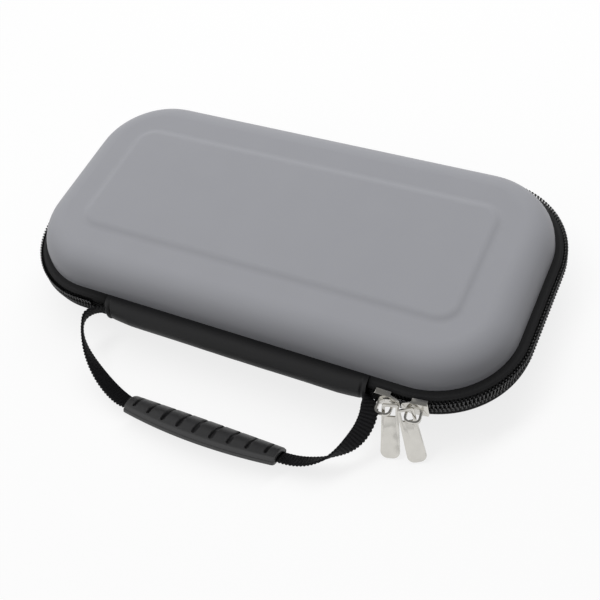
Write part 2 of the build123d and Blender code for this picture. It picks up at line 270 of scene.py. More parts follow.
def add_piece(name, bm, material, body=None, node=None):
    """A finished mesh as an object that rides on a body and stands for a CAD node."""
    mesh = as_mesh(name, bm)
    mesh.materials.append(material)
    mesh.polygons.foreach_set("use_smooth", [True] * len(mesh.polygons))
    piece = as_object(name, mesh)
    if body:
        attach(piece, body)
    if node:
        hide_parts(node)
    print(name, len(mesh.polygons), "faces")
    return piece


def thicken(piece, thickness, offset=-1.0):
    """Give a sheet its thickness, inwards unless told otherwise."""
    wall = piece.modifiers.new("thickness", "SOLIDIFY")
    wall.thickness = thickness
    wall.offset = offset
    return piece


# %% [markdown]
# Zip tape is a narrow woven ribbon. Its weave is a fine herringbone: rows along the run, each leaning the other
# way from the next. The pattern reads the distance along the run and the height, so it follows every corner.

# %% Woven tape finish
def tape_finish():
    """Black ribbon with a fine herringbone weave along its run."""
    material, shader, place = finish("woven_tape", Specular_IOR_Level=0.25)
    run = place.node("ShaderNodeAttribute", {"attribute_name": "along"}, out="Fac")
    height = place.axis("Z")
    row = (height * (2 * pi / (0.9 * mm))).wave()
    lean = row * 2 - 1
    twill = (run * (2 * pi / (0.55 * mm)) + lean * 2.4).wave()
    fuzz = place.noise(2600, 3)
    weave = twill * 0.7 + row * 0.3
    (weave * 0.6 + fuzz * 0.4).colours((0.006, 0.006, 0.0065), (0.021, 0.021, 0.022)).into(shader, "Base Color")
    (0.78 - weave * 0.18 + fuzz * 0.08).into(shader, "Roughness")
    (weave + fuzz * 0.35).bump(0.00009, 0.7).into(shader, "Normal")
    return material


woven_tape = tape_finish()

# %% [markdown]
# The lid's tape slopes from the lid's rim down to the coil, as one smooth band. The base's tape is wider and
# turns under at the base's rim in a soft fold, which shows below the coil. Both lap inside the rims, where
# they are sewn. Beside the spine the parked sliders hold the two coils together. The base's tape and coil ride
# on the base, and the lid's tape and coil ride on no body, so they stay where they are when the lid opens.

# %% Tapes
tape_thick = 0.9 * mm
lid_tape_line = [
    (-2.7, 4.75), (0.25, 4.95), (1.5, 4.7), (2.7, 4.15), (3.5, 3.55), (3.95, 2.9), (4.0, 1.9), (4.0, 0.7),
]
base_tape_line = [
    (4.0, -0.7), (4.0, -2.6), (4.05, -4.4), (4.45, -5.0), (4.9, -5.5), (5.0, -6.1), (4.8, -6.75), (4.2, -7.15),
    (2.6, -7.35), (0.2, -7.45), (-2.7, -7.45),
]
tape_end = spine_end + 0.2 * mm


def ride_or_bend(piece, body):
    """A base piece rides on the base, and a lid piece is baked in place and rides on no body."""
    if body == "base":
        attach(piece, body)
    else:
        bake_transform(piece)


def tape_piece(node, line, body):
    """One tape, from its section in millimetres."""
    bm = rim_strip([(out * mm, up * mm) for out, up in line], tape_end)
    piece = thicken(add_piece(node + "_woven", bm, woven_tape, None, node), tape_thick)
    ride_or_bend(piece, body)


tape_piece("lid_zip_tape", lid_tape_line, "lid")
tape_piece("base_zip_tape", base_tape_line, "base")


# %% [markdown]
# A coil zip has no separate teeth: one nylon filament is wound into a flat coil and sewn to the tape. Each turn
# is two legs and a round head, and the heads of one side sit between the heads of the other. One turn is a ring
# of eight points, extruded for each leg and spun half round for the head, then copied along the run.

# %% Coil finish and one turn of coil
def coil_finish():
    """Black nylon filament, smooth and a little glossy."""
    material, shader, place = finish("nylon_coil", Specular_IOR_Level=0.9)
    wear = place.noise(700, 2)
    wear.colours((0.009, 0.009, 0.01), (0.024, 0.024, 0.026)).into(shader, "Base Color")
    (0.22 + wear * 0.2).into(shader, "Roughness")
    return material


nylon_coil = coil_finish()
coil_pitch = 1.8 * mm
coil_outer, coil_middle = 5.32 * mm, 4.87 * mm
coil_edge, coil_head = 3.05 * mm, 0.32 * mm


def coil_turn():
    """One turn as a mesh: along the run is X, up from the zip's middle is Y, out of the rim is Z."""
    bm = bmesh.new()
    ring = bmesh.ops.create_circle(bm, segments=8, radius=0.5 * mm)["verts"]
    bmesh.ops.scale(bm, verts=ring, vec=(0.8, 1, 1))
    bmesh.ops.rotate(bm, verts=ring, matrix=Matrix.Rotation(pi / 2, 3, "X"))
    bmesh.ops.translate(bm, verts=ring, vec=(0, coil_edge, coil_outer))
    edges = bm.edges[:]
    made = bmesh.ops.extrude_edge_only(bm, edges=edges)["geom"]
    ends = {v for v in made if isinstance(v, bmesh.types.BMVert)}
    bmesh.ops.translate(bm, verts=list(ends), vec=(0, coil_head - coil_edge, 0))
    row = [e for e in made if isinstance(e, bmesh.types.BMEdge) and set(e.verts) <= ends] + list(ends)
    spun = bmesh.ops.spin(bm, geom=row, cent=(0, coil_head, coil_middle), axis=(1, 0, 0), angle=-pi, steps=4)
    last = [e for e in spun["geom_last"] if isinstance(e, bmesh.types.BMEdge)]
    made = bmesh.ops.extrude_edge_only(bm, edges=last)["geom"]
    bmesh.ops.translate(
        bm, verts=[v for v in made if isinstance(v, bmesh.types.BMVert)], vec=(0, coil_edge - coil_head, 0)
    )
    for vert in bm.verts:
        vert.co.x += 0.22 * (vert.co.y - coil_head) * (1 if vert.co.z > coil_middle else -1) * 0.5
    bmesh.ops.recalc_face_normals(bm, faces=bm.faces)
    return as_mesh("coil_turn", bm)


# %% [markdown]
# The turns are placed by walking along the run, straight and corner in turn. A place is a matrix whose axes are
# along the run, up, and out of the rim, so one turn drops onto it unchanged. The base's turns are mirrored and
# half a pitch further on. A sewing thread over the legs holds each coil to its tape.

# %% Walk along the run and lay the coils
def rim_place(along, out):
    """The place at a distance along the run, measured on the line that lies this far out of the rim."""
    point, turn = Vector((0, -half_depth, zip_level)), 0.0
    for straight in (corner_start, 2 * side_start, 2 * corner_start, 2 * side_start, corner_start):
        step = min(along, straight)
        point += step * Vector((cos(turn), sin(turn), 0))
        along -= step
        if along <= 0:
            break
        swing = min(along / (rim_corner + out), pi / 2)
        point += rim_corner * Vector((-sin(turn), cos(turn), 0))
        turn += swing
        point += rim_corner * Vector((sin(turn), -cos(turn), 0))
        along -= swing * (rim_corner + out)
        if along <= 0:
            break
    place = Matrix.Translation(point)
    place.col[0][:3] = (cos(turn), sin(turn), 0)
    place.col[1][:3] = (0, 0, 1)
    place.col[2][:3] = (sin(turn), -cos(turn), 0)
    return place


run_length = 4 * (corner_start + side_start) + 2 * pi * (rim_corner + coil_middle)
coil_end = spine_end + 7 * mm
turns = int((run_length - 2 * coil_end) / coil_pitch)
stitch_high = 0.2 * mm


def lay_along(shape, side, shift):
    """Copies of a small mesh along the zip's run, above the middle or mirrored below it."""
    bm = bmesh.new()
    mirror = Matrix.Diagonal((1, side, 1, 1))
    for i in range(turns):
        before = len(bm.verts)
        bm.from_mesh(shape)
        bm.verts.ensure_lookup_table()
        place = rim_place(coil_end + (i + shift) * coil_pitch, coil_middle)
        bmesh.ops.transform(bm, matrix=place @ mirror, verts=bm.verts[before:])
    if side < 0:
        bmesh.ops.reverse_faces(bm, faces=bm.faces)
    return bm


def stitch(bm, half_long, half_wide, turn, place):
    """One stitch of thread: a long drop, turned and put in its place."""
    made = bmesh.ops.create_icosphere(bm, subdivisions=1, radius=1)["verts"]
    bmesh.ops.scale(bm, verts=made, vec=(half_long, half_wide, stitch_high))
    bmesh.ops.rotate(bm, verts=made, matrix=turn)
    bmesh.ops.translate(bm, verts=made, vec=place)


def coil_stitch():
    """One stitch of the thread that holds the coil, slanting over its legs."""
    bm = bmesh.new()
    slant = Matrix.Rotation(radians(14), 3, "Z")
    stitch(bm, 0.78 * mm, 0.22 * mm, slant, (0, 2.5 * mm, coil_outer + 0.45 * mm))
    return as_mesh("coil_stitch", bm)


def thread_finish():
    """Black sewing thread with a slight sheen. Its colour is painted a lighter grey than black, as painted
    highlights, so its stitches show as light dots.
    """
    material, shader, place = finish("sewing_thread", Specular_IOR_Level=0.5, Sheen_Weight=0.2)
    twist = place.noise(1800, 1)
    # The thread's colour is a lighter grey than its black: painted highlight, so the stitches read as light dots.
    twist.colours((0.035, 0.035, 0.037), (0.11, 0.11, 0.115)).into(shader, "Base Color")
    (0.4 + twist * 0.2).into(shader, "Roughness")
    return material


sewing_thread = thread_finish()
one_turn, one_stitch = coil_turn(), coil_stitch()
for body, side, shift in (("lid", 1, 0.0), ("base", -1, 0.5)):
    node = body + "_zip_coil"
    coil, thread = lay_along(one_turn, side, shift), lay_along(one_stitch, side, shift)
    ride_or_bend(add_piece(node + "_turns", coil, nylon_coil, None, node), body)
    ride_or_bend(add_piece(node + "_thread", thread, sewing_thread, None, None), body)


# %% [markdown]
# The spine is a sleeve of smooth coated cloth over a little wadding. It is fullest in the middle and pulled in at
# its two ends, where a folded hem is sewn down. A grid is rolled up into the sleeve: one direction runs along
# the spine, the other round its section. Soft wrinkles come from noise, the hem from its distance to the end.

# %% Spine
def spine_finish():
    """Smooth black coated cloth with a very fine leather-like grain."""
    material, shader, place = finish("coated_cloth", Specular_IOR_Level=0.3)
    grain = place.node("ShaderNodeTexVoronoi", {}, {"Vector": place, "Scale": 1500.0})
    cloud = place.noise(60, 3)
    (cloud * 0.7 + grain * 0.3).colours((0.006, 0.006, 0.0065), (0.014, 0.014, 0.015)).into(shader, "Base Color")
    (0.4 + cloud * 0.14 + grain * 0.08).into(shader, "Roughness")
    (grain * 0.5 + cloud).bump(0.00006, 0.35).into(shader, "Normal")
    return material


def bezier(points, t):
    """A point of a cubic curve."""
    a, b, c, d = (Vector(p) for p in points)
    return a * (1 - t) ** 3 + b * 3 * t * (1 - t) ** 2 + c * 3 * t * t * (1 - t) + d * t ** 3


spine_curve = [(0.3, 5.0), (9.0, 7.6), (13.7, -9.4), (0.3, -7.5)]
spine_back = -2.5
spine_skin = 1.1 * mm
hem_wide, hem_high, crease_deep = 2.6 * mm, 0.65, 1.3
pulled_in = 14 * mm


def spine_point(x, t):
    """A point of the sleeve: t up to 0.75 goes down its outside, and the rest goes up its back."""
    to_end = spine_end - abs(x)
    if t <= 0.75:
        out, up = bezier(spine_curve, t / 0.75)
        belly = sin(pi * t / 0.75)
        full = min(1.0, 0.8 + 0.2 * (to_end / pulled_in) ** 0.7)
        hem = hem_high * exp(-((to_end - 0.45 * hem_wide) / (0.4 * hem_wide)) ** 2)
        crease = -crease_deep * exp(-((to_end - hem_wide) / (0.4 * mm)) ** 2)
        soft = noise.noise((x * 26, t * 3.1, 0.3)) * 0.35 + noise.noise((x * 90, t * 5, 7.7)) * 0.12
        out = 0.3 + (out - 0.3) * full + belly * (hem + crease + soft)
    else:
        back = (t - 0.75) / 0.25
        out = 0.3 + (spine_back - 0.3) * min(1.0, 4 * back, 4 * (1 - back))
        up = -7.5 + 12.5 * min(1.0, max(0.0, (back - 0.2) / 0.6))
    return Vector((x, -half_depth - out * mm, zip_level + up * mm))


bm = bmesh.new()
bmesh.ops.create_grid(bm, x_segments=220, y_segments=48, size=1.0)
for vert in bm.verts:
    k, t = vert.co.x, (vert.co.y + 1) / 2
    vert.co = spine_point(spine_end * (0.3 * k + 0.7 * sin(k * pi / 2)), t)
bmesh.ops.remove_doubles(bm, verts=bm.verts, dist=0.01 * mm)
bmesh.ops.recalc_face_normals(bm, faces=bm.faces)
if sum(f.normal.y * f.calc_area() for f in bm.faces if f.calc_center_median().y < -half_depth - 4 * mm) > 0:
    bmesh.ops.reverse_faces(bm, faces=bm.faces)
coated_cloth = spine_finish()
spine = thicken(add_piece("hinge_spine_sleeve", bm, coated_cloth, None, "hinge_spine"), spine_skin)
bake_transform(spine)


# %% [markdown]
# The handle is one length of ribbed webbing. At the spine it stands on edge, and it turns flat on its way to the
# grip. Webbing isn't simulated: it is laid along its two curves, which are close to the CAD model's. Its ribs
# cross it and make its edges wavy, and they are spaced by the real length, added up row by row.

# %% Webbing
def webbing_finish():
    """Black ribbed webbing: the ribs are modelled, the yarn is a fine bump along them."""
    material, shader, place = finish("ribbed_webbing", Specular_IOR_Level=0.2)
    run = place.node("ShaderNodeAttribute", {"attribute_name": "along"}, out="Fac")
    across = place.node("ShaderNodeAttribute", {"attribute_name": "across"}, out="Fac")
    yarn = (across * (2 * pi / (0.8 * mm)) + run * (2 * pi / (3.1 * mm))).wave()
    fuzz = place.noise(2200, 3)
    rib = (run * (2 * pi / rib_pitch) + pi / 2).wave()
    tone = rib * 0.6 + yarn * 0.15 + fuzz * 0.25
    tone.colours((0.0008, 0.0008, 0.001), (0.013, 0.013, 0.0145)).into(shader, "Base Color")
    (0.74 - yarn * 0.14 + fuzz * 0.1).into(shader, "Roughness")
    (yarn + fuzz * 0.4).bump(0.0001, 0.7).into(shader, "Normal")
    return material


grip_low, grip_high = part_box("handle_grip")
web_wide, web_thick = 8.0 * mm, 1.4 * mm
grip_tilt = radians(33)
grip_half, grip_clear = 6.7, 0.3
grip_origin = Vector((0, -101.8 * mm, grip_clear * mm + grip_half * mm * sin(grip_tilt)))
grip_up = Vector((0, sin(grip_tilt), cos(grip_tilt)))
web_mouth = grip_origin + grip_up * 1.3 * mm
web_y = -half_depth - 4.6 * mm
web_tuck, web_from = spine_end - 4 * mm, zip_level - 1.6 * mm
mouth = (web_mouth.y, web_mouth.z)
left_run = [(-web_tuck, web_y, web_from), (-spine_end - 34 * mm, web_y - 3 * mm, zip_level),
            (grip_low.x - 19 * mm, *mouth), (grip_low.x, *mouth)]
right_run = [(web_tuck, web_y, web_from), (spine_end + 12 * mm, web_y - 4 * mm, zip_level + 0.8 * mm),
             (grip_high.x + 33 * mm, *mouth), (grip_high.x, *mouth)]
left_leans = (0, -21, -74, 46, 94, 57)
right_leans = (0, -44, -180, 50, 58, 57)
web_rows, rib_pitch = 420, 1.65 * mm
rib_high, rib_edge = 0.25 * mm, 0.17 * mm


def web_lean(t, leans):
    """How far the webbing leans: on edge at the spine, then over, and at the grip's tilt at the end."""
    return sum(comb(5, k) * t ** k * (1 - t) ** (5 - k) * radians(lean) for k, lean in enumerate(leans))


def web_row(run, leans, t, side):
    """Place, width direction and width of the webbing at a point of one of its two curves."""
    place = bezier(run, t)
    ahead = (bezier(run, min(1.0, t + 0.002)) - bezier(run, max(0.0, t - 0.002))).normalized()
    flat = Vector((-ahead.y, ahead.x, 0)).normalized() * side
    lean = web_lean(t, leans)
    across = Vector((0, 0, 1)) * cos(lean) + flat * sin(lean)
    across = (across - ahead * across.dot(ahead)).normalized()
    opened = min(1.0, max(0.0, t - 0.08) / 0.12)
    return place, across, web_wide * (0.65 + 0.35 * opened)


rows = [web_row(left_run, left_leans, i / web_rows, -1) for i in range(web_rows + 1)]
rows += [web_row(right_run, right_leans, i / web_rows, 1) for i in range(web_rows, -1, -1)]
lengths = [0.0]
for (a, _, _), (b, _, _) in zip(rows, rows[1:]):
    lengths.append(lengths[-1] + (b - a).length)
bm = bmesh.new()
bmesh.ops.create_grid(bm, x_segments=len(rows) - 1, y_segments=10, size=1.0)
run_layer = bm.verts.layers.float.new("along")
across_layer = bm.verts.layers.float.new("across")
for vert in bm.verts:
    i = round((vert.co.x + 1) / 2 * (len(rows) - 1))
    place, across, width = rows[i]
    ahead = (rows[min(i + 1, len(rows) - 1)][0] - rows[max(i - 1, 0)][0]).normalized()
    rib = cos(2 * pi * lengths[i] / rib_pitch)
    from_middle = vert.co.y
    vert[run_layer], vert[across_layer] = lengths[i], from_middle * width / 2
    edge = from_middle * (width / 2 + rib_edge * rib * abs(from_middle) ** 3)
    vert.co = place + across * edge + ahead.cross(across) * rib_high * rib * (1 - 0.4 * from_middle ** 4)
bmesh.ops.recalc_face_normals(bm, faces=bm.faces)
ribbed_webbing = webbing_finish()
webbing = thicken(add_piece("handle_webbing_ribbed", bm, ribbed_webbing, None, "handle_webbing"),
                  web_thick - 2 * rib_high, 0.0)
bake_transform(webbing)
print("webbing length", round(lengths[-1], 4))


# %% [markdown]
# The grip is moulded rubber: a bowed lip, and on it an arched cap with nine slots across. It could be cut from a
# block with booleans, but moulded corners are all soft. So a grid is rolled round the section instead, and its
# top is pressed in where a slot is. At each end the section is drawn in and carried inwards, as the mouth that
# the webbing comes out of.

# %% Rubber grip
def rubber_finish():
    """Black rubber with a fine moulded grain."""
    material, shader, place = finish("moulded_rubber", Specular_IOR_Level=0.8)
    grain = place.noise(2400, 3)
    smear = place.noise(90, 2)
    tone = grain * 0.35 + smear * 0.65
    tone.colours((0.008, 0.008, 0.0085), (0.026, 0.026, 0.027)).into(shader, "Base Color")
    (0.4 + grain * 0.12 + smear * 0.06).into(shader, "Roughness")
    grain.bump(0.00005, 0.5).into(shader, "Normal")
    return material


grip_across = Vector((0, cos(grip_tilt), -sin(grip_tilt)))
grip_end = grip_high.x / mm
front_bow, back_bow = 4.4, 0.9
cap_inset, cap_round = 0.65, 0.9
slot_pitch, slot_half, slot_wall, slot_deep = 8.8, 1.3, 0.25, 2.4
mouth_deep = 3


def slot_depth(x, y, back):
    """How far the grip's top is pressed in at a point, in millimetres."""
    k = max(-4, min(4, round(x / slot_pitch)))
    past = max(-8.0 + 0.21 * k * k - y, y - back + 2.2, 0.0)
    from_middle = ((x - k * slot_pitch) ** 2 + past ** 2) ** 0.5
    inside = min(1.0, max(0.0, (slot_half - 0.025 * k * k - from_middle) / slot_wall))
    return slot_deep * inside * inside * (3 - 2 * inside)


def eased(edge):
    """How far a round edge of radius 1 falls below its flat, at a distance from 0 to 1 inside it."""
    return 1 - (1 - (1 - min(1.0, max(0.0, edge))) ** 2) ** 0.5


def grip_section(x):
    """The closed section at one place along the grip: points across it and up from its seat, in millimetres."""
    full = 1 - (x / grip_end) ** 2
    drop = eased(grip_end - abs(x))
    front, back = -grip_half - front_bow * full + drop, grip_half - back_bow * full - drop
    lip = [(0.5, 0.0), (0.1, 0.15), (0.0, 0.5), (0.0, 1.4), (0.12, 1.7), (0.45, 1.8), (0.6, 1.95)]
    top = []
    for i in range(61):
        t = 0.5 - 0.5 * cos(pi * i / 60)
        y = front + cap_inset + (back - front - 2 * cap_inset) * t
        z = 3.6 * (1 - t) ** 2 + 2 * (7.3 + 1.5 * full) * t * (1 - t) + (2.4 + full) * t * t - drop
        edge = min(y - front - cap_inset, back - cap_inset - y) / cap_round
        top.append((y, z - cap_round * eased(edge) - slot_depth(x, y, back)))
    return [(front + a, b) for a, b in lip] + top + [(back - a, b) for a, b in reversed(lip)]


def mouth_section(x):
    """The hollow inside the grip's end, where the webbing comes out: its section drawn in by its wall."""
    return [(0.84 * y - 0.1, 1.6 + 0.6 * (z - 1.6)) for y, z in grip_section(x)]


columns, around = 540, len(grip_section(0.0))
stations = [(x, grip_section(x)) for x in (grip_end * (2 * i / columns - 1) for i in range(columns + 1))]
for x in (grip_end, grip_end - mouth_deep):
    stations = [(-x, mouth_section(-grip_end))] + stations + [(x, mouth_section(grip_end))]
bm = bmesh.new()
last = len(stations) - 1
bmesh.ops.create_grid(bm, x_segments=last, y_segments=around, size=1.0)
for vert in bm.verts:
    x, section = stations[round((vert.co.x + 1) / 2 * last)]
    y, z = section[round((vert.co.y + 1) / 2 * around) % around]
    vert.co = grip_origin + Vector((x * mm, 0, 0)) + grip_across * y * mm + grip_up * z * mm
bmesh.ops.remove_doubles(bm, verts=bm.verts, dist=0.001 * mm)
bmesh.ops.holes_fill(bm, edges=[e for e in bm.edges if e.is_boundary], sides=0)
bmesh.ops.recalc_face_normals(bm, faces=bm.faces)
add_piece("handle_grip_moulded", bm, rubber_finish(), "handle", "handle_grip")

# %% [markdown]
# Cast and stamped pieces have eased edges, and an eased edge is what catches the light. A copy of the CAD solid
# is merged from its loose triangles, its flat faces are joined again, and a Bevel modifier eases its edges.

# %% Nickel zip parts
def eased_copy(node, material, body, ease):
    """A merged copy of a CAD node with eased edges."""
    bm = bmesh.new()
    bm.from_mesh(nodes[node].data)
    bmesh.ops.remove_doubles(bm, verts=bm.verts, dist=0.002 * mm)
    bmesh.ops.dissolve_limit(bm, angle_limit=radians(1), verts=bm.verts, edges=bm.edges)
    piece = add_piece(node + "_eased", bm, material, body, node)
    bevel = piece.modifiers.new("eased edges", "BEVEL")
    bevel.width = ease
    bevel.segments = 2
    bevel.limit_method = "ANGLE"
    bevel.angle_limit = radians(38)
    bevel.harden_normals = True


def nickel_finish():
    """Polished nickel plate: stamped, so not quite flat, with faint rubbing marks."""
    material, shader, place = finish("nickel_plate", Metallic=1.0)
    rub = place.noise(240, 4)
    fine = place.noise(2600, 2)
    sway = place.noise(75, 1)
    rub.colours((0.57, 0.555, 0.52), (0.68, 0.665, 0.625)).into(shader, "Base Color")
    (0.08 + rub * 0.12 + fine * 0.03).into(shader, "Roughness")
    (sway + fine * 0.004).bump(0.002, 1.0).into(shader, "Normal")
    return material


nickel = nickel_finish()
for node, body in (("inner_slider", "base"), ("outer_slider", "run_slider"), ("inner_pull", "parked_pull"),
                   ("outer_pull", "run_pull")):
    eased_copy(node, nickel, body, (0.32 if "pull" in node else 0.22) * mm)

# %% [markdown]
# Inside, a woven binding covers the seam at each rim. It is a folded ribbon, so its section is a small arch over
# the shell's edge. It goes all the way round, so its run starts and ends in the middle of the front.

# %% Bindings inside the rims
binding_line = [(-3.1, 2.9), (-3.75, 2.75), (-4.0, 2.0), (-4.0, 1.0), (-3.75, 0.25), (-3.1, 0.1)]
ribbon_start, ribbon_thick = 0.005 * mm, 0.3 * mm


def binding_piece(node, rim, up, body):
    """A ribbon over the seam inside one rim."""
    bm = rim_strip([(out * mm, rim + up * height * mm) for out, height in binding_line], ribbon_start)
    bmesh.ops.reverse_faces(bm, faces=bm.faces)
    thicken(add_piece(node + "_ribbon", bm, woven_tape, body, node), ribbon_thick)


binding_piece("lid_binding", lid_rim, 1, "lid")
binding_piece("base_binding", base_rim, -1, "base")


# %% [markdown]
# Cloth inside the lid and the tray needs three finishes: a brushed lining for the padded page, a net whose holes
# are cut by its alpha, and ribbed elastic. Each pattern is a sum of waves over the position, at its real pitch.

# %% Finishes of the fittings inside
def lining_finish():
    """Dark brushed cloth with a short nap."""
    material, shader, place = finish(
        "brushed_lining", Specular_IOR_Level=0.2, Sheen_Weight=0.15, Sheen_Roughness=0.5
    )
    nap = place.noise(1400, 4)
    shade = place.noise(70, 2)
    (nap * 0.7 + shade * 0.3).colours((0.014, 0.014, 0.016), (0.04, 0.04, 0.043)).into(shader, "Base Color")
    (0.82 + nap * 0.12).into(shader, "Roughness")
    nap.bump(0.00015, 0.6).into(shader, "Normal")
    return material


def net_finish(holes):
    """Fine knitted net: two sets of slanting strands, with open holes between them or a cloth behind."""
    material, shader, place = finish("open_net" if holes else "pocket_net_cloth", Specular_IOR_Level=0.3)
    x, y = place.axis("X"), place.axis("Y")
    pitch = 1.5 * mm
    first = ((x + y) * (2 * pi / pitch)).wave()
    second = ((x - y) * (2 * pi / pitch)).wave()
    strand = first.maths("MAXIMUM", first, second)
    strand.colours((0.006, 0.006, 0.007), (0.028, 0.028, 0.03)).into(shader, "Base Color")
    (0.78 - strand * 0.15).into(shader, "Roughness")
    strand.bump(0.0002, 0.7).into(shader, "Normal")
    if holes:
        (strand > 0.72).into(shader, "Alpha")
    return material


def elastic_finish(across):
    """Ribbed black elastic, with its ribs running along it."""
    material, shader, place = finish("ribbed_elastic_" + across.lower(), Specular_IOR_Level=0.3)
    rib = (place.axis(across) * (2 * pi / (1.0 * mm))).wave()
    fuzz = place.noise(2400, 3)
    (rib * 0.6 + fuzz * 0.4).colours((0.006, 0.006, 0.007), (0.024, 0.024, 0.026)).into(shader, "Base Color")
    (0.74 - rib * 0.12 + fuzz * 0.1).into(shader, "Roughness")
    (rib + fuzz * 0.4).bump(0.00014, 0.7).into(shader, "Normal")
    return material


brushed_lining = lining_finish()
pocket_cloth = net_finish(False)

# %% [markdown]
# The lid's pocket is a net, stretched across the front of the hollow and held by an elastic hem. A grid is
# widened row by row to the hollow's outline, and it hangs a little between its sewn edges. The hem is gathered,
# so it ripples along its length.

# %% Net pocket and its elastic hem
def inside_half(y, inset):
    """Half the length of a hollow at one depth, where its outline lies this far inside the rim's."""
    past = max(0.0, abs(y) - side_start)
    return corner_start + max(0.0, (rim_corner - inset) ** 2 - past ** 2) ** 0.5


def span_sheet(low, high, inset, across, along, lift):
    """A grid between two depths, as wide as the hollow, with its height given by a function."""
    bm = bmesh.new()
    bmesh.ops.create_grid(bm, x_segments=across, y_segments=along, size=1.0)
    for vert in bm.verts:
        u, v = vert.co.x, (vert.co.y + 1) / 2
        y = low + v * (high - low)
        vert.co = (u * inside_half(y, inset), y, lift(u, v))
    return bm


net_low, net_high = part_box("pocket_net")
elastic_low, elastic_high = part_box("pocket_elastic")
net_level = (net_low.z + net_high.z) / 2
net_inset = half_length - net_high.x + 0.1 * mm
bm = span_sheet(net_low.y + 0.2 * mm, net_high.y + mm, net_inset, 120, 40,
                lambda u, v: net_level - 1.1 * mm * (1 - u ** 4) * sin(pi * min(0.85, v) / 1.7 * 1.6))
net_area = sum(f.calc_area() for f in bm.faces)
net = thicken(add_piece("pocket_net_mesh", bm, net_finish(True), "lid", "pocket_net"), 0.25 * mm, 0.0)
bm = span_sheet(elastic_low.y, elastic_high.y, net_inset, 480, 6,
                lambda u, v: net_level - 0.7 * mm * (1 - u ** 4) + 0.22 * mm * sin(u * 250))
hem = thicken(add_piece("pocket_elastic_hem", bm, elastic_finish("Y"), "lid", "pocket_elastic"), mm, 0.0)
print("net area", round(net_area, 5))

# %% [markdown]
# The padded page is two cloths over thin foam. One face gets round corners from a vertex bevel, and a few insets
# raise it: steep at the edge, a sewn channel, then a soft crown. Mirrored, it is a closed pad. It is too thin for
# the voxel remesh that a cloth simulation starts from, so its form comes from the insets.

# %% Padded page and its sewn flap
page_low, page_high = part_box("card_page")
page_half = Vector((page_high.x, page_high.y, (page_high.z - page_low.z) / 2))
bm = bmesh.new()
bmesh.ops.create_grid(bm, x_segments=1, y_segments=1, size=1.0)
bmesh.ops.scale(bm, verts=bm.verts, vec=(page_half.x, page_half.y, 1))
bmesh.ops.bevel(bm, geom=bm.verts[:], affect="VERTICES", offset=26 * mm, segments=14, profile=0.5, material=-1)
middle = bm.faces[:]
page_steps = ((0.25, 0.55), (0.6, 0.4), (1.4, 0.12), (1.2, -0.3), (0.5, -0.1), (0.5, 0.1), (1.2, 0.3), (6, 0.1))
for inward, up in page_steps:
    bmesh.ops.inset_region(bm, faces=middle, thickness=inward * mm, depth=up * mm, use_even_offset=True)
bmesh.ops.mirror(bm, geom=bm.verts[:] + bm.edges[:] + bm.faces[:], axis="Z", merge_dist=0.01 * mm)
bmesh.ops.recalc_face_normals(bm, faces=bm.faces)
bmesh.ops.translate(bm, verts=bm.verts, vec=(0, 0, page_high.z - page_half.z))
page = add_piece("card_page_pad", bm, brushed_lining, "lid", "card_page")
flap_half, flap_back = spine_end - 5 * mm, -page_half.y + 2 * mm
bm = bmesh.new()
bmesh.ops.create_grid(bm, x_segments=40, y_segments=6, size=1.0)
for vert in bm.verts:
    v = (vert.co.y + 1) / 2
    flap_y, flap_z = page_low.y + v * (flap_back - page_low.y), page_high.z - 0.5 * mm - 0.5 * mm * v
    vert.co = (vert.co.x * flap_half, flap_y, flap_z)
flap = thicken(add_piece("card_page_flap", bm, brushed_lining, "lid", None), 0.5 * mm, 0.0)


# %% [markdown]
# Two rows of card pockets are sewn to the page. A row is one strip of cloth, stitched down along its foot, its
# ends and between the pockets, so it stands off a little in each pocket and most at its open edge.

# %% Card pockets
stitch_pitch = 2.5 * mm
pockets, pocket_stand = 5, 0.75 * mm


def stitch_rows(name, runs, body):
    """Rows of small stitches, each row from one point to another."""
    bm = bmesh.new()
    for start, end in runs:
        start, end = Vector(start), Vector(end)
        count = int((end - start).length / stitch_pitch)
        turn = (end - start).to_track_quat("X", "Z").to_matrix()
        for i in range(count):
            stitch(bm, 0.85 * mm, 0.24 * mm, turn, start.lerp(end, (i + 0.5) / count))
    return add_piece(name, bm, sewing_thread, body, None)


def pocket_row(node, open_side):
    """One row of five pockets on the page's under side, open on its inner edge."""
    low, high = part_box(node)
    top = high.z - 0.25 * mm
    bm = bmesh.new()
    bmesh.ops.create_grid(bm, x_segments=120, y_segments=14, size=1.0)
    for vert in bm.verts:
        u, v = (vert.co.x + 1) / 2, (1 + vert.co.y * open_side) / 2
        stand = pocket_stand * abs(sin(pockets * pi * u)) ** 0.5 * v ** 0.6
        vert.co = (low.x + u * (high.x - low.x), low.y + (vert.co.y + 1) / 2 * (high.y - low.y), top - stand)
    bmesh.ops.reverse_faces(bm, faces=bm.faces)
    row = thicken(add_piece(node + "_cloth", bm, pocket_cloth, "lid", node), 0.35 * mm, 0.0)
    wide = high.x - low.x
    left, right, near, far = low.x + mm, high.x - mm, low.y + mm, high.y - mm
    seams = [low.x + wide * k / pockets for k in range(1, pockets)] + [left, right]
    runs = [((x, near, top - 0.3 * mm), (x, far, top - 0.3 * mm)) for x in seams]
    foot = near if open_side > 0 else far
    runs.append(((left, foot, top - 0.35 * mm), (right, foot, top - 0.35 * mm)))
    threads = stitch_rows(node + "_stitches", runs, "lid")


pocket_row("front_card_pockets", 1)
pocket_row("back_card_pockets", -1)

# %% [markdown]
# A wide elastic strap crosses the tray and holds the console down. It is sewn at its two ends, so it lies flat
# there and lifts a little from the tray's floor in between.

